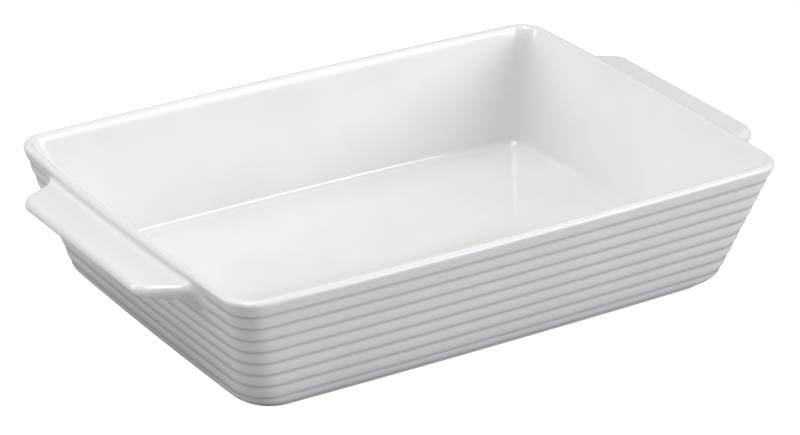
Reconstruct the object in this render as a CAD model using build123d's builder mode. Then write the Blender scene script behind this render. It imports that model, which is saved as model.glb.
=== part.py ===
from build123d import *
from math import asin, cos, radians, sin, sqrt, tan
import os

os.makedirs("parts", exist_ok=True)

# Dish body, in mm and degrees: sizes at the level of the rim
dish_height = 75.0
rim_half_length = 169.4
rim_half_width = 119.4
wall_thickness = 5.4
wall_lean = 14.7
rim_round = 2.5

# Outline of the walls: sides that bow out a little, round corners
rim_bow = 3.0
foot_bow = 1.6
rim_corner = 16.0
foot_corner = 19.0
inner_rim_corner = 10.6
inner_floor_corner = 14.5

# Plain band under the rim, then ribs and the grooves that part them, spaced along the leaning wall
band_height = 7.6
groove_pitch = 8.2
groove_depth = 1.4
crown_power = 2.6
crown_shares = (0.35, 0.78, 1)

# Heel: the curve that turns each wall in to the foot
heel_height = 11.88
heel_radius = 14.0
heel_end_angle = 72.0

# Floor and foot ring
floor_top = 9.0
floor_fillet = 7.0
foot_width = 9.0
foot_recess = 1.6
foot_edge = 0.7
recess_corner = 12.0

# Steps in which the round forms are drawn
rim_steps = 3
heel_steps = 3
fillet_steps = 4
wall_steps = 4
corner_steps = 2
nose_steps = 3

# Handle slab: side profile, then plan
handle_projection = 24.6
handle_drop = 6.4
handle_edge_thickness = 6.2
handle_root_thickness = 9.6
handle_edge_round = 3.0
handle_corner_half = 61.5
handle_taper = 28.0
handle_corner_radius = 11.0
nose_end_angle = 78.0
nose_corner_share = 0.46

# Neck that spreads the slab over its seat
neck_top_radius = 3.0
neck_under_radius = 2.4
neck_side_radius = 6.0
neck_corner_radius = 4.0
neck_sunk_share = 0.8
neck_shares = (-0.1, 0.03, 0.1, 0.22, 0.42, 1)

# Seat of the handle, let into the ribs of the end wall
seat_depth = 1.9
seat_margin = 0.3
seat_corner = 7.0
seat_clearance = 0.05
overrun = 12.0

lean = radians(wall_lean)
wall_run = wall_thickness / cos(lean)
first_groove = dish_height - band_height
rib_count = round((first_groove - heel_height) / (groove_pitch * cos(lean)))
groove_rise = (first_groove - heel_height) / rib_count
half_pitch = groove_rise / cos(lean) / 2


def between(low, high, share):
    """Value at a share of the way from low to high."""
    return low + (high - low) * share


def rise_share(level, foot):
    """Share of the way from a foot level to the rim."""
    return max((level - foot) / (dish_height - foot), 0)


def lean_inset(level):
    """How far the leaning wall has moved in from the rim at a level."""
    return (dish_height - level) * tan(lean)


def bow_at(level):
    """How far the middle of a side stands out from its ends at a level."""
    return between(foot_bow, rim_bow, rise_share(level, heel_height))


def outline_at(level, inset, corner):
    """Bowed rectangle with round corners, set in from the outline of the rim."""
    length = rim_half_length - inset
    width = rim_half_width - inset
    bow = bow_at(level)
    with BuildSketch(Plane.XY.offset(level)) as outline:
        with BuildLine():
            ThreePointArc((-length, -width), (0, -width - bow), (length, -width))
            ThreePointArc((length, -width), (length + bow, 0), (length, width))
            ThreePointArc((length, width), (0, width + bow), (-length, width))
            ThreePointArc((-length, width), (-length - bow, 0), (-length, -width))
        make_face()
        fillet(outline.vertices(), corner)
    return outline.sketch


def outer_outline(level, sink):
    """Outline of the outside, sunk level from the plain leaning wall."""
    corner = between(foot_corner, rim_corner, rise_share(level, heel_height))
    return outline_at(level, lean_inset(level) + sink, corner - sink)


def inner_outline(level, gain):
    """Outline of the inside, moved out or in from the plain leaning inner wall."""
    corner = between(inner_floor_corner, inner_rim_corner, rise_share(level, floor_top))
    return outline_at(level, lean_inset(level) + wall_run - gain, corner + gain)


def crown_outline(middle, share):
    """Outline of a rib at a share from its middle, -1 at the groove below and 1 at the one above."""
    dip = groove_depth * abs(share) ** crown_power
    level = middle + share * groove_rise / 2 + dip * sin(lean)
    return outer_outline(level, dip / cos(lean))


def turn_steps(start, end, count):
    """Angles in equal steps from start to end, without the start."""
    return [between(start, end, (step + 1) / count) for step in range(count)]


right_angle = radians(90)
rib_shares = [-share for share in reversed(crown_shares)] + list(crown_shares)

# Heel and foot, from the resting plane up to the lowest groove
heel_centre_level = heel_height + heel_radius * sin(lean)
heel_centre_inset = lean_inset(heel_height) + heel_radius * cos(lean)
heel_end = radians(heel_end_angle)
foot_level = heel_centre_level - heel_radius * sin(heel_end)
foot_inset = heel_centre_inset - heel_radius * cos(heel_end)
outer_outlines = [
    outline_at(0, foot_inset + foot_edge, foot_corner - foot_edge),
    outline_at(foot_edge, foot_inset, foot_corner),
    outline_at(foot_level, foot_inset, foot_corner),
]
crest_turn = lean + half_pitch / heel_radius
heel_turns = turn_steps(heel_end, crest_turn, heel_steps)
heel_turns += [lean + half_pitch * (1 - share) / heel_radius for share in crown_shares]
for turn in heel_turns:
    dip = groove_depth * max(1 - (turn - lean) * heel_radius / half_pitch, 0) ** crown_power
    level = heel_centre_level - (heel_radius - dip) * sin(turn)
    inset = heel_centre_inset - (heel_radius - dip) * cos(turn)
    outer_outlines.append(outline_at(level, inset, foot_corner - dip))

# Ribs one above the other, then the plain band and the outer half of the rim
for step in reversed(range(rib_count)):
    middle = first_groove - (step + 1 / 2) * groove_rise
    outer_outlines += [crown_outline(middle, share) for share in rib_shares[1:]]
band_middle = first_groove + groove_rise / 2
outer_outlines += [crown_outline(band_middle, -share) for share in crown_shares[-2::-1]]
rim_level = dish_height - rim_round
rim_foot = rim_level - rim_round * sin(lean)
outer_outlines.append(outer_outline(rim_foot, 0))
rim_inset = lean_inset(rim_foot) + rim_round * cos(lean)
for turn in turn_steps(-lean, right_angle, rim_steps):
    level = rim_level + rim_round * sin(turn)
    outer_outlines.append(outer_outline(level, rim_inset - rim_round * cos(turn) - lean_inset(level)))

# Inside, from the floor round its fillet and up the wall to the inner half of the rim
fillet_level = floor_top + floor_fillet
fillet_foot = fillet_level - floor_fillet * sin(lean)
fillet_inset = lean_inset(fillet_foot) + wall_run + floor_fillet * cos(lean)
cavity_outlines = []
for turn in [right_angle] + turn_steps(right_angle, lean, fillet_steps):
    level = fillet_level - floor_fillet * sin(turn)
    inset = fillet_inset - floor_fillet * cos(turn)
    cavity_outlines.append(inner_outline(level, lean_inset(level) + wall_run - inset))
inner_rim_foot = rim_level + rim_round * sin(lean)
for step in range(wall_steps):
    cavity_outlines.append(inner_outline(between(fillet_foot, inner_rim_foot, (step + 1) / wall_steps), 0))
inner_rim_inset = lean_inset(inner_rim_foot) + wall_run - rim_round * cos(lean)
for turn in turn_steps(lean, right_angle, rim_steps):
    level = rim_level + rim_round * sin(turn)
    inset = inner_rim_inset + rim_round * cos(turn)
    cavity_outlines.append(inner_outline(level, lean_inset(level) + wall_run - inset))

# Frame of the right handle's seat, on the leaning end wall
handle_reach = rim_half_length + handle_projection
handle_top = dish_height - handle_drop
seat_level = handle_top - handle_root_thickness / 2
seat_bow = bow_at(seat_level)
seat_x = rim_half_length - lean_inset(seat_level) + seat_bow
seat_plane = Plane(origin=(seat_x, 0, seat_level), x_dir=(0, 1, 0), z_dir=(cos(lean), 0, -sin(lean)))
bow_plane = Plane(origin=(seat_x, 0, seat_level), x_dir=(0, 1, 0), z_dir=(sin(lean), 0, cos(lean)))
bow_half = rim_half_width - lean_inset(seat_level)

# Side and plan of the handle slab, with a nose rounded up to a narrow edge
taper = radians(handle_taper)
nose_end = radians(nose_end_angle)
nose_tip = handle_reach + handle_edge_round * (1 - sin(nose_end))
corner_x = nose_tip - handle_corner_radius
corner_y = handle_corner_half + handle_corner_radius * (tan(taper) - 1 / cos(taper))
under_slope = (handle_root_thickness - handle_edge_thickness) / (handle_reach - seat_x)


def plan_half(reach):
    """Half length of the slab at a reach from the middle of the dish."""
    if reach < corner_x + handle_corner_radius * sin(taper):
        return handle_corner_half + (nose_tip - reach) * tan(taper)
    return corner_y + sqrt(handle_corner_radius**2 - (reach - corner_x) ** 2)


def slab_heights(reach, tilt):
    """Heights of the slab's top and underside over the seat level, on a plane that leans by a tilt."""
    under_level = handle_top - handle_edge_thickness - (handle_reach - reach) * under_slope
    top = (handle_top - seat_level) / cos(tilt)
    return top, (under_level - seat_level) / (cos(tilt) - under_slope * sin(tilt))


# Outline of the seat, a margin larger than the foot of the neck
neck_foot = seat_x - seat_depth * neck_sunk_share / cos(lean)
foot_top, foot_under = slab_heights(neck_foot, lean)
foot_shift = (seat_x - neck_foot) * sin(lean)
seat_top = foot_top + neck_top_radius + seat_margin
seat_under = foot_under - foot_shift - neck_under_radius - seat_margin
seat_height = seat_top - seat_under
seat_half_length = plan_half(neck_foot) + neck_side_radius + seat_margin


def seat_outline(clearance):
    """Outline of the seat on the leaning wall, smaller all round by a clearance."""
    with BuildSketch(seat_plane) as outline:
        with Locations((0, seat_top - seat_height / 2)):
            length = 2 * (seat_half_length - clearance)
            RectangleRounded(length, seat_height - 2 * clearance, seat_corner - clearance)
    return outline.sketch


def end_wall_form(depth):
    """Face of the bowed end wall as a block behind it, sunk by a depth."""
    bow = seat_bow * cos(lean)
    with BuildPart(mode=Mode.PRIVATE) as form:
        with BuildSketch(bow_plane):
            with BuildLine():
                ThreePointArc((-bow_half, bow + depth), (0, depth), (bow_half, bow + depth))
                Polyline(
                    (bow_half, bow + depth),
                    (bow_half, bow + depth + overrun),
                    (-bow_half, bow + depth + overrun),
                    (-bow_half, bow + depth),
                )
            make_face()
        extrude(amount=seat_height, both=True)
    return form.part


wall_block = end_wall_form(0)
seat_block = end_wall_form(seat_depth)

# Seat pocket on the right end wall
with BuildPart() as seat_pocket:
    extrude(seat_outline(0), amount=overrun, both=True)
    add(seat_block, mode=Mode.SUBTRACT)

# Dish body: one casting with floor, walls, rim, ribs and foot ring
with BuildPart() as dish_body:
    loft(outer_outlines, ruled=True)
    loft(cavity_outlines, ruled=True, mode=Mode.SUBTRACT)
    extrude(outline_at(0, foot_inset + foot_width, recess_corner), amount=foot_recess, mode=Mode.SUBTRACT)
    add(seat_pocket.part, mode=Mode.SUBTRACT)
    add(mirror(seat_pocket.part, about=Plane.YZ, mode=Mode.PRIVATE), mode=Mode.SUBTRACT)


def blend(gap, radius):
    """Height of a quarter round over the flat that it runs out to, at a gap from its steep end."""
    rest = min(max(radius - gap, 0), radius)
    return radius - sqrt(radius**2 - rest**2)


def handle_section(reach, tilt):
    """Section of slab and neck on a plane that leans by a tilt and cuts the seat level at a reach."""
    gap = (reach - seat_x) * cos(lean)
    end_gap = gap + seat_bow * (plan_half(reach) / bow_half) ** 2
    trim = blend(nose_tip - reach, handle_edge_round)
    top, under = slab_heights(reach, tilt)
    middle_top = top - trim + blend(gap, neck_top_radius)
    middle_under = under + trim - blend(gap, neck_under_radius)
    end_top = top - trim + blend(end_gap, neck_top_radius)
    end_under = under + trim - blend(end_gap, neck_under_radius)
    half = plan_half(reach) + blend(end_gap, neck_side_radius)
    edge_round = min(handle_edge_round, (top - under - 2 * trim) * nose_corner_share)
    plane = Plane(origin=(reach, 0, seat_level), x_dir=(0, 1, 0), z_dir=(cos(tilt), 0, -sin(tilt)))
    with BuildSketch(plane) as section:
        with BuildLine():
            Line((-half, end_under), (-half, end_top))
            Line((half, end_top), (half, end_under))
            if middle_top > end_top:
                ThreePointArc((-half, end_top), (0, middle_top), (half, end_top))
            else:
                Line((-half, end_top), (half, end_top))
            if middle_under < end_under:
                ThreePointArc((half, end_under), (0, middle_under), (-half, end_under))
            else:
                Line((half, end_under), (-half, end_under))
        make_face()
        fillet(section.vertices(), edge_round + blend(end_gap, neck_corner_radius))
    return section.sketch


# Sections from inside the pad over the neck, then upright ones round the corners to the nose
handle_sections = [handle_section(neck_foot, lean)]
handle_sections += [handle_section(seat_x + neck_side_radius * share / cos(lean), lean) for share in neck_shares]
nose_turn = asin(1 - handle_edge_round / handle_corner_radius)
for turn in [0] + turn_steps(0, nose_turn, corner_steps):
    handle_sections.append(handle_section(corner_x + handle_corner_radius * sin(turn), 0))
for turn in turn_steps(0, nose_end, nose_steps):
    handle_sections.append(handle_section(nose_tip - handle_edge_round * (1 - sin(turn)), 0))

# Handle: pad in the seat, with neck and slab on it
with BuildPart() as handle_right:
    extrude(seat_outline(seat_clearance), amount=overrun, both=True)
    add(wall_block, mode=Mode.INTERSECT)
    loft(handle_sections, ruled=True)
    add(seat_block, mode=Mode.SUBTRACT)

with BuildPart() as handle_left:
    mirror(handle_right.part, about=Plane.YZ)

dish_body.part.label = "dish_body"
handle_right.part.label = "handle_right"
handle_left.part.label = "handle_left"
export_step(dish_body.part, "parts/dish_body.step")
export_step(handle_right.part, "parts/handle_right.step")
export_step(handle_left.part, "parts/handle_left.step")
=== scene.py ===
"""White stoneware lasagna dish with ribbed, flared walls, a round rim and two ledge handles."""

import logging
import math
from dataclasses import dataclass
from enum import Enum, IntEnum
from typing import Callable, NamedTuple

import bmesh
import bpy
from mathutils import Matrix, Vector
from mathutils.geometry import intersect_sphere_sphere_2d


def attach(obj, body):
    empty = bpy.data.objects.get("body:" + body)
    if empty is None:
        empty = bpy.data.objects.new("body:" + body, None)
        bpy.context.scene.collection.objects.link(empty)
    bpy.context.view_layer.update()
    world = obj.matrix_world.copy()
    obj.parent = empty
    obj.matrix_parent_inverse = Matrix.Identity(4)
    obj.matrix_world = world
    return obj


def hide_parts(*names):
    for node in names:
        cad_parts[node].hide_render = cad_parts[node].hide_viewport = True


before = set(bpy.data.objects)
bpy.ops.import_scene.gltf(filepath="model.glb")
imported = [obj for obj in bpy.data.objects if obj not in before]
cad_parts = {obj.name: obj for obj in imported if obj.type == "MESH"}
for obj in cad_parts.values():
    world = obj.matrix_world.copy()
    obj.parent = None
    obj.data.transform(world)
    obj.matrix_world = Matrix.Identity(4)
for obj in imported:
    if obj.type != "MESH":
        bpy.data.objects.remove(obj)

log = logging.getLogger("lasagna_dish")

MM = 0.001
IMAGE_WIDTH = 800
SENSOR_WIDTH = 36.0
# Name of the vertex attribute that carries the painted shade in the grooves
GROOVE_SHADE = "painted_groove_shade"
WHITE = "#FFFFFF"


class Coat(IntEnum):
    """Material slots of the body: glazed, or bare clay where it stands."""

    GLAZED = 0
    BARE = 1


def srgb(colour: str) -> tuple[float, float, float, float]:
    """Turns an sRGB hex colour into Blender's linear colour.

    Args:
        colour: Six hex digits, with or without a leading hash.

    Returns:
        Red, green, blue and alpha, linear.
    """
    digits = colour.lstrip("#")
    values = [int(digits[i : i + 2], 16) / 255 for i in (0, 2, 4)]
    linear = [v / 12.92 if v <= 0.04045 else ((v + 0.055) / 1.055) ** 2.4 for v in values]
    return (*linear, 1.0)


def add_node(
    tree: bpy.types.NodeTree, kind: str, settings: dict | None = None, links: dict | None = None
) -> bpy.types.Node:
    """Adds one node with its settings and the links into it.

    Args:
        tree: The node tree.
        kind: The node's type name.
        settings: Attribute values by name, and socket values by the socket's name or number.
        links: Output sockets by the name or number of the input that they go to.

    Returns:
        The new node.
    """
    node = tree.nodes.new(kind)
    for name, value in (settings or {}).items():
        if isinstance(name, str) and name not in node.inputs and hasattr(node, name):
            setattr(node, name, value)
        else:
            node.inputs[name].default_value = value
    for name, socket in (links or {}).items():
        tree.links.new(socket, node.inputs[name])
    return node


def new_material(name: str) -> tuple[bpy.types.Material, bpy.types.NodeTree]:
    """Makes an empty node material.

    Args:
        name: The material's name.

    Returns:
        The material and its node tree.
    """
    material = bpy.data.materials.new(name)
    material.use_nodes = True
    material.node_tree.nodes.clear()
    return material, material.node_tree


@dataclass(frozen=True)
class StonewareGlaze:
    """Glossy white stoneware glaze, dipped and fired."""

    thick: str = "#E9E9E9"
    thin: str = "#E6E6E5"
    # Painted shade: the grey that the grooves are coloured with
    groove_shade_colour: str = "#C3C6CB"
    roughness: float = 0.1
    ior: float = 1.52
    mottle_mm: float = 38.0
    mottle_range: tuple[float, float] = (0.35, 0.65)
    ripple_mm: float = 9.0
    ripple_height_mm: float = 0.05
    ripple_strength: float = 0.25

    def build(self) -> bpy.types.Material:
        """Builds the material.

        Returns:
            The glaze.
        """
        # Dipped and fired: a smooth gloss with soft highlights, and painted shade that greys the grooves
        material, tree = new_material("white stoneware glaze, dipped")
        place = add_node(tree, "ShaderNodeTexCoord").outputs["Object"]
        # Slight cloudiness where the coat is a little thinner or thicker
        cloud = add_node(
            tree,
            "ShaderNodeTexNoise",
            {"Scale": 1 / (self.mottle_mm * MM), "Detail": 2.0},
            {"Vector": place},
        )
        cloud_ramp = add_node(
            tree,
            "ShaderNodeMapRange",
            {"From Min": self.mottle_range[0], "From Max": self.mottle_range[1]},
            {"Value": cloud.outputs["Fac"]},
        )
        base = add_node(
            tree,
            "ShaderNodeMix",
            {"data_type": "RGBA", 6: srgb(self.thick), 7: srgb(self.thin)},
            {0: cloud_ramp.outputs["Result"]},
        )
        # Painted shade: a cooler, darker grey in the grooves, where shade falls between the ribs
        groove_shade = add_node(tree, "ShaderNodeAttribute", {"attribute_name": GROOVE_SHADE})
        coat = add_node(
            tree,
            "ShaderNodeMix",
            {"data_type": "RGBA", 7: srgb(self.groove_shade_colour)},
            {0: groove_shade.outputs["Fac"], 6: base.outputs[2]},
        )
        # A fired coat is never quite flat: long soft ripples that bend reflections
        ripple = add_node(
            tree,
            "ShaderNodeTexNoise",
            {"Scale": 1 / (self.ripple_mm * MM), "Detail": 1.0},
            {"Vector": place},
        )
        bump = add_node(
            tree,
            "ShaderNodeBump",
            {"Strength": self.ripple_strength, "Distance": self.ripple_height_mm * MM},
            {"Height": ripple.outputs["Fac"]},
        )
        shader = add_node(
            tree,
            "ShaderNodeBsdfPrincipled",
            {"Roughness": self.roughness, "IOR": self.ior, "Metallic": 0.0},
            {"Base Color": coat.outputs[2], "Normal": bump.outputs["Normal"]},
        )
        add_node(tree, "ShaderNodeOutputMaterial", {}, {"Surface": shader.outputs["BSDF"]})
        return material


@dataclass(frozen=True)
class BisqueFoot:
    """Bare fired stoneware clay, wiped clean of glaze."""

    clay: str = "#DAD6CF"
    speck: str = "#C4BFB6"
    roughness: float = 0.85
    ior: float = 1.5
    grit_mm: float = 0.8
    grit_height_mm: float = 0.1
    grit_strength: float = 0.5

    def build(self) -> bpy.types.Material:
        """Builds the material.

        Returns:
            The bare clay.
        """
        # Wiped bare before firing: matt and cream, with a fine dark speck
        material, tree = new_material("stoneware bisque, wiped foot")
        place = add_node(tree, "ShaderNodeTexCoord").outputs["Object"]
        # The grit is drawn coarser than real grit, so that it shows
        grit = add_node(
            tree,
            "ShaderNodeTexNoise",
            {"Scale": 1 / (self.grit_mm * MM), "Detail": 3.0},
            {"Vector": place},
        )
        tone = add_node(
            tree,
            "ShaderNodeMix",
            {"data_type": "RGBA", 6: srgb(self.clay), 7: srgb(self.speck)},
            {0: grit.outputs["Fac"]},
        )
        bump = add_node(
            tree,
            "ShaderNodeBump",
            {"Strength": self.grit_strength, "Distance": self.grit_height_mm * MM},
            {"Height": grit.outputs["Fac"]},
        )
        shader = add_node(
            tree,
            "ShaderNodeBsdfPrincipled",
            {"Roughness": self.roughness, "IOR": self.ior},
            {"Base Color": tone.outputs[2], "Normal": bump.outputs["Normal"]},
        )
        add_node(tree, "ShaderNodeOutputMaterial", {}, {"Surface": shader.outputs["BSDF"]})
        return material


@dataclass(frozen=True)
class PaperFloor:
    """Matt white paper, which glows where the camera sees it."""

    paper: str = "#BCBCBC"
    glow: float = 1.25
    glow_share: float = 0.8

    def build(self) -> bpy.types.Material:
        """Builds the material.

        Returns:
            The floor's material.
        """
        # Matt for all light that reaches the dish. The glow times its share is 1, which is full white,
        # so the camera sees clean white without a shadow, as in the photograph
        material, tree = new_material("matt white paper")
        paper = add_node(tree, "ShaderNodeBsdfDiffuse", {"Color": srgb(self.paper)})
        white = add_node(tree, "ShaderNodeEmission", {"Color": srgb(WHITE), "Strength": self.glow})
        rays = add_node(tree, "ShaderNodeLightPath")
        share = add_node(
            tree,
            "ShaderNodeMath",
            {"operation": "MULTIPLY", 1: self.glow_share},
            {0: rays.outputs["Is Camera Ray"]},
        )
        mix = add_node(
            tree,
            "ShaderNodeMixShader",
            {},
            {0: share.outputs[0], 1: paper.outputs["BSDF"], 2: white.outputs["Emission"]},
        )
        add_node(tree, "ShaderNodeOutputMaterial", {}, {"Surface": mix.outputs["Shader"]})
        return material


class RingVertex(NamedTuple):
    """One vertex of a plan outline: its place and the direction square to the outline."""

    place: Vector
    normal: Vector


@dataclass(frozen=True)
class WallShape:
    """Shape of the flared walls: plan outline at any level, in millimetres and degrees."""

    height: float = 75.0
    half_length: float = 169.3
    half_width: float = 119.3
    thickness: float = 5.4
    lean_degrees: float = 14.7
    rim_round: float = 2.5
    rim_bow: float = 3.0
    foot_bow: float = 1.6
    rim_corner: float = 16.0
    foot_corner: float = 19.0
    inner_rim_corner: float = 10.6
    inner_floor_corner: float = 14.5
    floor_top: float = 9.0
    groove_count: int = 8
    first_groove: float = 65.6
    groove_pitch: float = 8.2
    groove_depth: float = 0.65
    long_steps: int = 16
    short_steps: int = 34
    corner_steps: int = 14

    @property
    def lean(self) -> float:
        """Lean of the walls from upright, in radians."""
        return math.radians(self.lean_degrees)

    @property
    def groove_rise(self) -> float:
        """Height from one groove to the next."""
        return self.groove_pitch * math.cos(self.lean)

    @property
    def lowest_groove(self) -> float:
        """Level of the lowest groove."""
        return self.first_groove - (self.groove_count - 1) * self.groove_rise

    @property
    def wall_run(self) -> float:
        """Wall thickness measured level."""
        return self.thickness / math.cos(self.lean)

    @property
    def rim_centre(self) -> float:
        """Level of the centre of the rim's rounding."""
        return self.height - self.rim_round

    @property
    def rim_foot(self) -> float:
        """Level at which the rim's rounding leaves the outside of the wall."""
        return self.rim_centre - self.rim_round * math.sin(self.lean)

    @property
    def inner_rim_foot(self) -> float:
        """Level at which the rim's rounding meets the inside of the wall."""
        return self.rim_centre + self.rim_round * math.sin(self.lean)

    @property
    def ring_size(self) -> int:
        """Number of vertices in a plan outline."""
        return 4 * (self.long_steps + self.corner_steps + self.short_steps)

    def rise(self, level: float, foot: float) -> float:
        """Share of the way from a foot level to the rim."""
        return max((level - foot) / (self.height - foot), 0.0)

    def lean_inset(self, level: float) -> float:
        """How far the leaning wall has moved in from the rim at a level."""
        return (self.height - level) * math.tan(self.lean)

    def bow(self, level: float) -> float:
        """How far the middle of a side stands out at a level."""
        return self.foot_bow + (self.rim_bow - self.foot_bow) * self.rise(level, self.lowest_groove)

    def outer_corner(self, level: float) -> float:
        """Radius of the outer corners at a level."""
        share = self.rise(level, self.lowest_groove)
        return self.foot_corner + (self.rim_corner - self.foot_corner) * share

    def inner_corner(self, level: float) -> float:
        """Radius of the inner corners at a level."""
        share = self.rise(level, self.floor_top)
        return self.inner_floor_corner + (self.inner_rim_corner - self.inner_floor_corner) * share

    def rim_inset(self, level: float) -> float:
        """Inset of the outside at a level, with the outer half of the round rim.

        Args:
            level: Height above the resting plane.

        Returns:
            The inset from the outline of the rim.
        """
        if level <= self.rim_foot:
            return self.lean_inset(level)
        centre = self.lean_inset(self.rim_foot) + self.rim_round * math.cos(self.lean)
        reach = self.rim_round**2 - (level - self.rim_centre) ** 2
        return centre - math.sqrt(max(reach, 0.0))

    def end_wall(self, across: float, level: float) -> float:
        """Distance of the outside of an end wall from the middle of the dish.

        Args:
            across: Distance from the long middle plane.
            level: Height above the resting plane.

        Returns:
            The distance along the length.
        """
        inset = self.rim_inset(level)
        width, bow = self.half_width - inset, self.bow(level)
        radius = (width**2 + bow**2) / (2 * bow)
        return self.half_length - inset + bow - radius + math.sqrt(radius**2 - across**2)

    def outline(self, level: float, inset: float, corner: float) -> list[RingVertex]:
        """Plan outline of bowed sides and round corners, one vertex for each step.

        Args:
            level: Height above the resting plane.
            inset: Distance in from the outline of the rim.
            corner: Radius of the corners.

        Returns:
            The vertices, once round from the middle of the front side, towards the right.
        """
        length, width, bow = self.half_length - inset, self.half_width - inset, self.bow(level)
        long_radius = (length**2 + bow**2) / (2 * bow)
        short_radius = (width**2 + bow**2) / (2 * bow)
        long_centre = Vector((0.0, -width - bow + long_radius))
        short_centre = Vector((length + bow - short_radius, 0.0))
        crossings = intersect_sphere_sphere_2d(
            long_centre, long_radius - corner, short_centre, short_radius - corner
        )
        corner_centre = min(crossings, key=lambda p: p.y)
        to_long = (corner_centre - long_centre).normalized()
        to_short = (corner_centre - short_centre).normalized()
        quarter: list[RingVertex] = []

        def sweep(centre: Vector, radius: float, start: Vector, end: Vector, steps: int) -> None:
            """Adds an arc's vertices, without its last one.

            Args:
                centre: The arc's centre.
                radius: Its radius.
                start: Direction from the centre to where it starts.
                end: Direction from the centre to where it ends.
                steps: Number of steps.
            """
            turn = start.angle(end)
            for step in range(steps):
                part = Matrix.Rotation(turn * step / steps, 2) @ start
                quarter.append(RingVertex((centre + radius * part).to_3d(), part.to_3d()))

        sweep(long_centre, long_radius, Vector((0.0, -1.0)), to_long, self.long_steps)
        sweep(corner_centre, corner, to_long, to_short, self.corner_steps)
        sweep(short_centre, short_radius, to_short, Vector((1.0, 0.0)), self.short_steps)
        last = RingVertex(Vector((length + bow, 0.0, 0.0)), Vector((1.0, 0.0, 0.0)))
        half = quarter + [last] + [flipped(v, 1) for v in reversed(quarter[1:])]
        ring = half + [flipped(quarter[0], 1)] + [flipped(v, 0) for v in reversed(half[1:])]
        return [RingVertex(Vector((v.place.x, v.place.y, level)), v.normal) for v in ring]


def flipped(vertex: RingVertex, axis: int) -> RingVertex:
    """Mirrors an outline vertex.

    Args:
        vertex: The vertex.
        axis: 0 swaps left and right, and 1 front and back.

    Returns:
        The mirrored vertex.
    """
    place, normal = vertex.place.copy(), vertex.normal.copy()
    place[axis], normal[axis] = -place[axis], -normal[axis]
    return RingVertex(place, normal)


class Loft:
    """A skin grown ring by ring: a circle on the first ring, its edges extruded to each next one."""

    def __init__(self, name: str, size: int) -> None:
        """Starts the skin.

        Args:
            name: Name of the finished object.
            size: Number of vertices in a ring.
        """
        self.name = name
        self.mesh = bmesh.new()
        # Painted shade in the grooves: a share for each vertex
        self.groove_shade = self.mesh.verts.layers.float.new(GROOVE_SHADE)
        bmesh.ops.create_circle(self.mesh, segments=size, radius=1.0)
        self.mesh.verts.ensure_lookup_table()
        start = self.mesh.verts[0]
        edge = start.link_edges[0]
        self.ring = [start]
        while len(self.ring) < size:
            self.ring.append(edge.other_vert(self.ring[-1]))
            edge = next(e for e in self.ring[-1].link_edges if e is not edge)
        self.first = list(self.ring)
        self.started = False

    def grow(
        self, places: list[Vector], groove_shades: list[float] | None = None, coat: Coat = Coat.GLAZED
    ) -> None:
        """Lays the first ring, or extrudes to the next.

        Args:
            places: The ring's vertices, in millimetres.
            groove_shades: How much painted groove shade each vertex takes, 0 to 1.
            coat: What the new faces are coated with.
        """
        if self.started:
            grown = bmesh.ops.extrude_edge_only(self.mesh, edges=self.edges_of(self.ring))["geom"]
            for face in (g for g in grown if isinstance(g, bmesh.types.BMFace)):
                face.material_index = coat
                face.smooth = True
            new = {g for g in grown if isinstance(g, bmesh.types.BMVert)}
            self.ring = [
                next(e.other_vert(v) for e in v.link_edges if e.other_vert(v) in new) for v in self.ring
            ]
        self.started = True
        for vertex, place, groove_shade in zip(self.ring, places, groove_shades or [0.0] * len(places)):
            vertex.co = place * MM
            vertex[self.groove_shade] = groove_shade

    def cap(self, ring: list[bmesh.types.BMVert], insets: tuple[float, ...]) -> None:
        """Closes a ring with a flat face and steps inside it, so that shading stays flat there.

        Args:
            ring: The vertices to close.
            insets: Widths of the steps, from the ring inwards, in millimetres.
        """
        made = bmesh.ops.contextual_create(
            self.mesh, geom=self.edges_of(ring), mat_nr=Coat.GLAZED, use_smooth=True
        )
        face = made["faces"][0]
        for inset in insets:
            grown = bmesh.ops.inset_region(
                self.mesh, faces=[face], thickness=inset * MM, use_even_offset=True
            )
            for side in grown["faces"]:
                side.smooth = True

    def edges_of(self, ring: list[bmesh.types.BMVert]) -> list[bmesh.types.BMEdge]:
        """The edges round a ring."""
        return [self.mesh.edges.get((ring[i], ring[(i + 1) % len(ring)])) for i in range(len(ring))]

    def finish(self, materials: list[bpy.types.Material]) -> bpy.types.Object:
        """Makes the object.

        Args:
            materials: One for each slot.

        Returns:
            The finished object, at the origin.
        """
        bmesh.ops.recalc_face_normals(self.mesh, faces=self.mesh.faces)
        data = bpy.data.meshes.new(self.name)
        self.mesh.to_mesh(data)
        self.mesh.free()
        for material in materials:
            data.materials.append(material)
        piece = bpy.data.objects.new(self.name, data)
        bpy.context.scene.collection.objects.link(piece)
        return piece


def arc(start: float, end: float, steps: int) -> list[float]:
    """Values in equal steps from start to end, both included."""
    return [start + (end - start) * step / steps for step in range(steps + 1)]


def smooth(low: float, high: float, value: float) -> float:
    """Eases from 0 at low to 1 at high."""
    share = min(max((value - low) / (high - low), 0.0), 1.0)
    return share * share * (3 - 2 * share)


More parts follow.
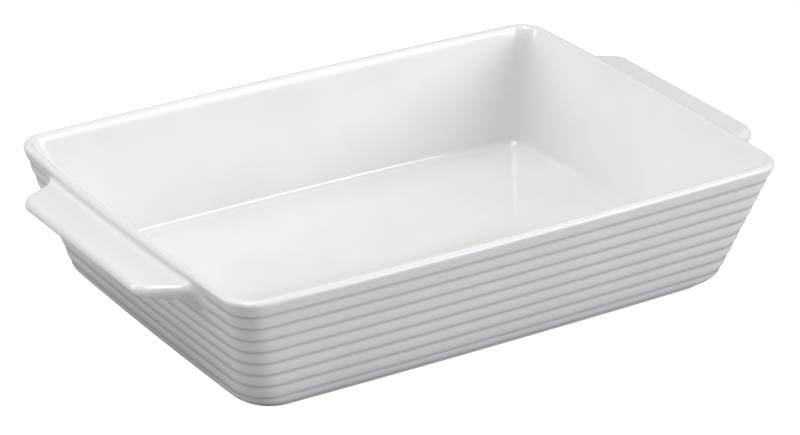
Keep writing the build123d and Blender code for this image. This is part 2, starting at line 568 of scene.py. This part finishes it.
@dataclass
class DishBody:
    """Body of the dish: floor, ribbed walls, round rim and foot ring, in millimetres and degrees."""

    wall: WallShape
    glaze: bpy.types.Material
    bisque: bpy.types.Material
    heel_radius: float = 12.0
    heel_end: float = 72.0
    floor_fillet: float = 7.0
    foot_width: float = 9.0
    foot_recess: float = 1.6
    foot_edge: float = 0.7
    recess_corner: float = 12.0
    recess_fillet: float = 1.2
    glaze_line: float = 1.0
    crown_power: float = 2.0
    groove_ease: float = 0.12
    groove_fill: float = 0.8
    # Painted groove shade eases in between these shares of the groove's depth
    groove_shade_from: float = 0.3
    groove_shade_to: float = 0.85
    crown_shares: tuple[float, ...] = (0.0, 0.25, 0.45, 0.6, 0.72, 0.81, 0.88, 0.93, 0.97, 1.0)
    neck_half_length: float = 80.7
    neck_low: float = 56.8
    neck_corner: float = 8.0
    neck_fade: float = 4.5
    end_wall_normal: float = 0.9
    edge_steps: int = 4
    heel_steps: int = 8
    rim_steps: int = 10
    inner_rim_steps: int = 8
    wall_steps: int = 10
    fillet_steps: int = 12
    floor_insets: tuple[float, ...] = (2.0, 4.0)
    recess_insets: tuple[float, ...] = (2.0,)

    def heel_place(self, turn: float) -> tuple[float, float]:
        """Place on the heel's arc, which carries the wall round to the foot.

        Args:
            turn: Turn of the surface from upright, in radians.

        Returns:
            The inset from the outline of the rim, and the level.
        """
        wall, radius = self.wall, self.heel_radius
        centre_inset = wall.lean_inset(wall.lowest_groove) + radius * math.cos(wall.lean)
        centre_level = wall.lowest_groove + radius * math.sin(wall.lean)
        return centre_inset - radius * math.cos(turn), centre_level - radius * math.sin(turn)

    def dip(self, share: float) -> float:
        """Depth under the crest at a share of the way from the middle of a rib to its groove.

        The crown falls off as a power of the share, and glaze fills and rounds the groove's root.

        Args:
            share: The share, from -1 at one groove to 1 at the next.

        Returns:
            The depth.
        """
        share = min(abs(share), 1.0)
        rounding = self.crown_power * self.groove_ease * math.exp((share - 1) / self.groove_ease)
        return self.wall.groove_depth * (share**self.crown_power - rounding * self.groove_fill)

    def rib_share(self, vertex: RingVertex, level: float) -> float:
        """How much of a rib's relief is left where the handle's neck spreads over the end wall.

        Args:
            vertex: A vertex of the plan outline.
            level: Its height.

        Returns:
            1 away from the neck, and 0 under it.
        """
        if abs(vertex.normal.x) < self.end_wall_normal:
            return 1.0
        sideways = max(abs(vertex.place.y) - self.neck_half_length + self.neck_corner, 0.0)
        below = max(self.neck_low + self.neck_corner - level, 0.0)
        return smooth(0.0, self.neck_fade, math.hypot(sideways, below) - self.neck_corner)

    def outer_ring(self, loft: Loft, crest: float, share: float, heel: float | None = None) -> None:
        """Grows one ring of the outside.

        Args:
            loft: The skin.
            crest: Level on the plain leaning wall.
            share: Share of the way from the middle of a rib to its groove.
            heel: Turn of the heel's arc instead, in radians.
        """
        wall, dip = self.wall, self.dip(share)
        if heel is None:
            level, inset, corner, turn = crest, wall.lean_inset(crest), wall.outer_corner(crest), wall.lean
        else:
            (inset, level), corner, turn = self.heel_place(heel), wall.foot_corner, heel
        places, groove_shades = [], []
        for vertex in wall.outline(level, inset, corner):
            depth = dip * self.rib_share(vertex, level)
            move = Vector(
                (-vertex.normal.x * math.cos(turn), -vertex.normal.y * math.cos(turn), math.sin(turn))
            )
            places.append(vertex.place + move * depth)
            # Painted shade: the deeper a vertex sits in its groove, the more of the grey it takes
            groove_shades.append(smooth(self.groove_shade_from, self.groove_shade_to, depth / wall.groove_depth))
        loft.grow(places, groove_shades)

    def plain_ring(
        self, loft: Loft, level: float, inset: float, corner: float, coat: Coat = Coat.GLAZED
    ) -> None:
        """Grows one ring without ribs."""
        loft.grow([v.place for v in self.wall.outline(level, inset, corner)], coat=coat)

    def inner_ring(self, loft: Loft, level: float, inset: float) -> None:
        """Grows one ring of the inside, its corners kept round one centre with the wall's at that level.

        Args:
            loft: The skin.
            level: Height above the resting plane.
            inset: Distance in from the outline of the rim.
        """
        wall = self.wall
        gain = wall.lean_inset(level) + wall.wall_run - inset
        self.plain_ring(loft, level, inset, wall.inner_corner(level) + gain)

    def grow_foot(self, loft: Loft) -> None:
        """Grows the recess under the floor, and the foot ring round it, bare up to the glaze line.

        Args:
            loft: The skin.
        """
        outer, top = self.heel_place(math.radians(self.heel_end))
        inner, edge = outer + self.foot_width, self.foot_edge
        for turn in arc(math.pi / 2, 0.0, self.edge_steps):
            fall = self.recess_fillet * (1 - math.sin(turn))
            back = self.recess_fillet * (1 - math.cos(turn))
            self.plain_ring(loft, self.foot_recess - fall, inner + back, self.recess_corner - back)
        for turn in arc(0.0, math.pi / 2, self.edge_steps):
            level, out = edge * (1 - math.sin(turn)), edge * (1 - math.cos(turn))
            self.plain_ring(loft, level, inner - out, self.recess_corner + out, Coat.BARE)
        for turn in arc(math.pi / 2, 0.0, self.edge_steps):
            level, out = edge * (1 - math.sin(turn)), edge * (1 - math.cos(turn))
            self.plain_ring(loft, level, outer + out, self.wall.foot_corner - out, Coat.BARE)
        self.plain_ring(loft, self.glaze_line, outer, self.wall.foot_corner, Coat.BARE)
        self.plain_ring(loft, top, outer, self.wall.foot_corner)

    def grow_ribs(self, loft: Loft) -> None:
        """Grows the heel up to the lowest groove, and the ribs one above the other.

        Args:
            loft: The skin.
        """
        wall = self.wall
        half_pitch, half_rise = wall.groove_pitch / 2, wall.groove_rise / 2
        crest_turn = wall.lean + half_pitch / self.heel_radius
        for turn in arc(math.radians(self.heel_end), crest_turn, self.heel_steps)[1:-1]:
            self.outer_ring(loft, 0.0, 0.0, heel=turn)
        for share in self.crown_shares:
            self.outer_ring(loft, 0.0, share, heel=wall.lean + half_pitch * (1 - share) / self.heel_radius)
        for step in reversed(range(wall.groove_count)):
            middle = wall.first_groove - (step - 0.5) * wall.groove_rise
            for share in [-s for s in reversed(self.crown_shares)][1:]:
                self.outer_ring(loft, middle + share * half_rise, share)
            if step:
                for share in self.crown_shares[1:]:
                    self.outer_ring(loft, middle + share * half_rise, share)

    def grow_rim(self, loft: Loft) -> None:
        """Grows the plain band and the round rim: its outer quarter, then its inner one.

        Args:
            loft: The skin.
        """
        wall = self.wall
        outer = wall.lean_inset(wall.rim_foot) + wall.rim_round * math.cos(wall.lean)
        for turn in arc(-wall.lean, math.pi / 2, self.rim_steps):
            level = wall.rim_centre + wall.rim_round * math.sin(turn)
            inset = outer - wall.rim_round * math.cos(turn)
            self.plain_ring(loft, level, inset, wall.outer_corner(level) - inset + wall.lean_inset(level))
        inner = wall.lean_inset(wall.inner_rim_foot) + wall.wall_run - wall.rim_round * math.cos(wall.lean)
        for turn in arc(math.pi / 2, wall.lean, self.inner_rim_steps):
            level = wall.rim_centre + wall.rim_round * math.sin(turn)
            self.inner_ring(loft, level, inner + wall.rim_round * math.cos(turn))

    def grow_inside(self, loft: Loft) -> None:
        """Grows the inside of the wall, then the fillet into the floor.

        Args:
            loft: The skin.
        """
        wall = self.wall
        centre_level = wall.floor_top + self.floor_fillet
        fillet_top = centre_level - self.floor_fillet * math.sin(wall.lean)
        centre_inset = wall.lean_inset(fillet_top) + wall.wall_run + self.floor_fillet * math.cos(wall.lean)
        for level in arc(wall.inner_rim_foot, fillet_top, self.wall_steps)[1:-1]:
            self.inner_ring(loft, level, wall.lean_inset(level) + wall.wall_run)
        for turn in arc(wall.lean, math.pi / 2, self.fillet_steps):
            level = centre_level - self.floor_fillet * math.sin(turn)
            self.inner_ring(loft, level, centre_inset - self.floor_fillet * math.cos(turn))

    def build(self) -> bpy.types.Object:
        """Builds the body, once round its section from under the floor to the floor.

        Returns:
            The finished piece.
        """
        loft = Loft("stoneware_body", self.wall.ring_size)
        self.grow_foot(loft)
        self.grow_ribs(loft)
        self.grow_rim(loft)
        self.grow_inside(loft)
        loft.cap(loft.ring, self.floor_insets)
        loft.cap(loft.first, self.recess_insets)
        piece = loft.finish([self.glaze, self.bisque])
        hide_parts("dish_body")
        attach(piece, "root")
        return piece


class Side(Enum):
    """The end of the dish that a handle is on."""

    RIGHT = 1
    LEFT = -1


class SectionVertex(NamedTuple):
    """One vertex of a handle's upright section: its place, and the direction square to the section."""

    across: float
    level: float
    normal: Vector


@dataclass
class LedgeHandle:
    """Ledge handle: a level slab with tapered ends and soft edges, and a neck that joins it to the wall."""

    wall: WallShape
    glaze: bpy.types.Material
    side: Side
    reach: float = 194.0
    top: float = 68.6
    edge_thickness: float = 6.2
    root_drop: float = 2.4
    root: float = 169.0
    corner_half: float = 61.5
    taper_degrees: float = 28.0
    corner_radius: float = 11.0
    top_round: float = 4.0
    under_round: float = 2.2
    neck_up: float = 3.5
    neck_down: float = 3.0
    neck_sideways: float = 6.2
    neck_out_top: float = 5.4
    neck_out_side: float = 9.0
    neck_out_under: float = 4.0
    skirt: float = 0.6
    skirt_depth: float = 0.15
    bury: float = 1.2
    nose_lead: float = 2.0
    flat_steps: int = 22
    round_steps: int = 8
    neck_steps: int = 9
    nose_steps: int = 14
    slab_shares: tuple[float, ...] = (0.5, 1.0)

    def plan_half(self, along: float, inward: float) -> float:
        """Half width of the slab at a distance along the dish, measured a little inside its plan outline.

        Args:
            along: Distance from the middle of the dish.
            inward: Distance inside the outline.

        Returns:
            The half width.
        """
        taper = math.radians(self.taper_degrees)
        centre_x = self.reach - self.corner_radius
        offset = self.corner_half * math.cos(taper) + self.corner_radius * math.sin(taper)
        centre_y = (offset - self.corner_radius) / math.cos(taper)
        radius = self.corner_radius - inward
        past = along - centre_x
        if past > radius * math.sin(taper):
            return centre_y + math.sqrt(max(radius**2 - past**2, 0.0))
        return self.corner_half + (self.reach - along) * math.tan(taper) - inward / math.cos(taper)

    def rounded_edge(self, along: float, centre: float, radius: float, sign: float) -> list[SectionVertex]:
        """Rounded edge of the section, from its side to the flat, or only as far as the nose leaves it.

        Args:
            along: Distance from the middle of the dish.
            centre: Level of the rounding's centre.
            radius: The rounding's radius.
            sign: 1 for the upper edge, -1 for the lower one.

        Returns:
            The vertices.
        """
        left = max(self.reach - along, 0.0)
        limit = math.acos(1 - left / radius) if left < radius else math.pi / 2
        return [
            SectionVertex(
                self.plan_half(along, radius * (1 - math.cos(turn))),
                centre + sign * radius * math.sin(turn),
                Vector((math.cos(turn), sign * math.sin(turn))),
            )
            for turn in arc(0.0, limit, self.round_steps)
        ]

    def flat(self, end: SectionVertex, sign: float) -> list[SectionVertex]:
        """Flat of the section from the middle out to an edge, without the edge's own vertex."""
        return [
            SectionVertex(across, end.level, Vector((0.0, sign)))
            for across in arc(0.0, end.across, self.flat_steps)[:-1]
        ]

    def section(self, along: float) -> list[SectionVertex]:
        """Upright section of the slab at a distance along the dish.

        Args:
            along: Distance from the middle of the dish.

        Returns:
            The vertices, once round from the middle of the top towards the back.
        """
        left = max(self.reach - along, 0.0)
        under = self.top - self.edge_thickness - self.root_drop * left / (self.reach - self.root)
        high = self.rounded_edge(along, self.top - self.top_round, self.top_round, 1.0)[::-1]
        low = self.rounded_edge(along, under + self.under_round, self.under_round, -1.0)
        half = self.flat(high[0], 1.0) + high + low + self.flat(low[-1], -1.0)[::-1]
        other = [
            SectionVertex(-v.across, v.level, Vector((-v.normal.x, v.normal.y)))
            for v in reversed(half[1:-1])
        ]
        return half + other

    def blend(self, normal: Vector, up: float, down: float, sideways: float) -> float:
        """Size of the neck in a direction square to the section, eased between up, down and sideways."""
        vertical = up if normal.y > 0 else down
        return math.hypot(sideways * normal.x, vertical * normal.y)

    def on_wall(self, vertex: SectionVertex, spread: float) -> Vector:
        """The place on the end wall at a distance from the section, square to it.

        Args:
            vertex: A vertex of the section.
            spread: The distance.

        Returns:
            The place.
        """
        across, level = vertex.across + vertex.normal.x * spread, vertex.level + vertex.normal.y * spread
        return Vector((self.wall.end_wall(across, level), across, level))

    def on_slab(self, along: float, index: int) -> Vector:
        """The place of one vertex of the section at a distance along the dish."""
        vertex = self.section(along)[index]
        return Vector((along, vertex.across, vertex.level))

    def grow_neck(self, loft: Loft, root: list[SectionVertex]) -> list[float]:
        """Grows the neck, curved from its foot on the end wall out to the slab.

        Args:
            loft: The skin.
            root: The slab's section at the end wall.

        Returns:
            How far along the dish the neck reaches the slab, for each vertex.
        """
        spreads = [self.blend(v.normal, self.neck_up, self.neck_down, self.neck_sideways) for v in root]
        skirts = [self.on_wall(v, spread + self.skirt) for v, spread in zip(root, spreads)]
        feet = [self.on_wall(v, spread) for v, spread in zip(root, spreads)]
        corners = [self.on_wall(v, 0.0) for v in root]
        outs = [
            corner.x + self.blend(v.normal, self.neck_out_top, self.neck_out_under, self.neck_out_side)
            for v, corner in zip(root, corners)
        ]
        starts = [self.on_slab(out, index) for index, out in enumerate(outs)]
        inward = Vector((-math.cos(self.wall.lean), 0.0, math.sin(self.wall.lean)))
        # A skirt just under the wall's skin carries the neck's shading on past its foot
        for depth in (self.bury, self.skirt_depth):
            loft.grow([self.turned(skirt + inward * depth) for skirt in skirts])
        for share in arc(0.0, 1.0, self.neck_steps):
            ring = [
                foot * (1 - share) ** 2 + corner * (2 * share * (1 - share)) + start * share**2
                for foot, corner, start in zip(feet, corners, starts)
            ]
            loft.grow([self.turned(place) for place in ring])
        return outs

    def grow_slab(self, loft: Loft, outs: list[float]) -> None:
        """Grows the slab from the neck to its rounded nose.

        Args:
            loft: The skin.
            outs: How far along the dish each vertex starts.
        """
        nose = self.reach - self.corner_radius + self.nose_lead
        for share in self.slab_shares:
            ring = [self.on_slab(out + (nose - out) * share, index) for index, out in enumerate(outs)]
            loft.grow([self.turned(place) for place in ring])
        for turn in arc(0.0, math.pi / 2, self.nose_steps)[1:]:
            along = nose + (self.reach - nose) * math.sin(turn)
            loft.grow([self.turned(Vector((along, v.across, v.level))) for v in self.section(along)])

    def build(self) -> bpy.types.Object:
        """Builds the handle.

        Returns:
            The finished piece.
        """
        root = self.section(self.root)
        loft = Loft("ledge_handle_" + self.side.name.lower(), len(root))
        self.grow_slab(loft, self.grow_neck(loft, root))
        loft.cap(loft.ring, ())
        loft.cap(loft.first, ())
        piece = loft.finish([self.glaze])
        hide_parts("handle_" + self.side.name.lower())
        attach(piece, "root")
        return piece

    def turned(self, place: Vector) -> Vector:
        """Moves a place to this handle's end of the dish."""
        return Vector((self.side.value * place.x, place.y, place.z))


@dataclass(frozen=True)
class Lamp:
    """One soft lamp with a flat, bright face."""

    name: str
    place: tuple[float, float, float]
    width: float
    height: float
    watts: float
    colour: str = WHITE

    def build(self, aim: Vector) -> bpy.types.Object:
        """Builds the lamp.

        Args:
            aim: The point that it faces.

        Returns:
            The lamp.
        """
        data = bpy.data.lights.new(self.name, "AREA")
        data.shape, data.size, data.size_y = "RECTANGLE", self.width, self.height
        data.energy, data.color = self.watts, srgb(self.colour)[:3]
        lamp = bpy.data.objects.new(self.name, data)
        bpy.context.scene.collection.objects.link(lamp)
        lamp.location = self.place
        lamp.rotation_euler = (aim - Vector(self.place)).to_track_quat("-Z", "Y").to_euler()
        return lamp


@dataclass
class Studio:
    """White paper floor, dim white sky, soft lamps and the camera."""

    focal_pixels: float = 3356.0
    azimuth: float = -33.5935
    elevation: float = 25.151
    roll: float = 1.2085
    target: tuple[float, float, float] = (0.0075, 0.00871, 0.030)
    distance: float = 1.823
    sky: float = 0.25
    floor_size: float = 8.0
    clip: tuple[float, float] = (0.05, 50.0)
    lamp_aim: tuple[float, float, float] = (0.0, 0.0, 0.03)
    lamps: tuple[Lamp, ...] = (
        Lamp("softbox above", (0.0, 0.1, 1.6), 0.5, 0.5, 3.6),
        Lamp("softbox above, front left", (-0.3, -0.2, 0.98), 0.35, 0.35, 4.0),
        Lamp("softbox in front, right", (1.08, -1.54, 0.68), 0.9, 0.7, 15.0, "#F8FAFF"),
        Lamp("low softbox on the right", (1.67, -0.97, 0.52), 0.9, 0.6, 6.0, "#F8FAFF"),
        Lamp("softbox on the right", (1.11, -0.64, 1.53), 0.8, 0.8, 2.0),
        Lamp("softbox behind, left", (-0.96, 0.86, 1.53), 0.7, 0.7, 5.0),
        Lamp("low softbox on the left", (-1.63, 0.98, 0.62), 0.9, 0.6, 9.0),
    )

    def build_camera(self) -> bpy.types.Object:
        """Builds the camera at the photograph's viewing angle.

        Returns:
            The camera.
        """
        turn, rise = math.radians(self.azimuth), math.radians(self.elevation)
        back = Vector((math.sin(turn) * math.cos(rise), -math.cos(turn) * math.cos(rise), math.sin(rise)))
        right = (-back).cross(Vector((0.0, 0.0, 1.0))).normalized()
        up = right.cross(-back)
        roll = math.radians(self.roll)
        tilted_right = right * math.cos(roll) + up * math.sin(roll)
        tilted_up = up * math.cos(roll) - right * math.sin(roll)
        data = bpy.data.cameras.new("camera")
        data.sensor_fit = "HORIZONTAL"
        data.sensor_width = SENSOR_WIDTH
        data.lens = self.focal_pixels / IMAGE_WIDTH * SENSOR_WIDTH
        data.clip_start, data.clip_end = self.clip
        camera = bpy.data.objects.new("camera", data)
        bpy.context.scene.collection.objects.link(camera)
        basis = Matrix((tilted_right, tilted_up, back)).transposed()
        place = Matrix.Translation(Vector(self.target) + back * self.distance)
        camera.matrix_world = place @ basis.to_4x4()
        bpy.context.scene.camera = camera
        return camera

    def build_world(self) -> None:
        """Builds an even white sky, at full white where the camera sees it and dim for everything else."""
        world = bpy.data.worlds.new("white tent")
        world.use_nodes = True
        tree = world.node_tree
        tree.nodes.clear()
        rays = add_node(tree, "ShaderNodeLightPath")
        strength = add_node(
            tree,
            "ShaderNodeMix",
            {"data_type": "FLOAT", 2: self.sky, 3: 1.0},
            {0: rays.outputs["Is Camera Ray"]},
        )
        sky = add_node(
            tree, "ShaderNodeBackground", {"Color": srgb(WHITE)}, {"Strength": strength.outputs[0]}
        )
        add_node(tree, "ShaderNodeOutputWorld", {}, {"Surface": sky.outputs["Background"]})
        bpy.context.scene.world = world

    def build_floor(self) -> bpy.types.Object:
        """Builds the floor.

        Returns:
            The floor, which isn't part of the object.
        """
        mesh = bmesh.new()
        bmesh.ops.create_grid(mesh, x_segments=1, y_segments=1, size=self.floor_size / 2)
        data = bpy.data.meshes.new("paper_floor")
        mesh.to_mesh(data)
        mesh.free()
        data.materials.append(PaperFloor().build())
        floor = bpy.data.objects.new("paper_floor", data)
        bpy.context.scene.collection.objects.link(floor)
        return floor

    def build(self) -> None:
        """Builds floor, lamps, sky and camera."""
        self.build_floor()
        self.build_world()
        for lamp in self.lamps:
            lamp.build(Vector(self.lamp_aim))
        self.build_camera()
        bpy.context.scene.view_settings.view_transform = "Standard"


def main() -> None:
    """Builds the dish and the studio."""
    logging.basicConfig(level=logging.INFO, format="%(message)s")
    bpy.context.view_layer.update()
    wall = WallShape()
    glaze, bisque = StonewareGlaze().build(), BisqueFoot().build()
    builders: list[Callable[[], bpy.types.Object]] = [
        DishBody(wall, glaze, bisque).build,
        LedgeHandle(wall, glaze, Side.RIGHT).build,
        LedgeHandle(wall, glaze, Side.LEFT).build,
    ]
    for build in builders:
        piece = build()
        log.info("%s: %d faces", piece.name, len(piece.data.polygons))
    Studio().build()


if __name__ == "__main__":
    main()
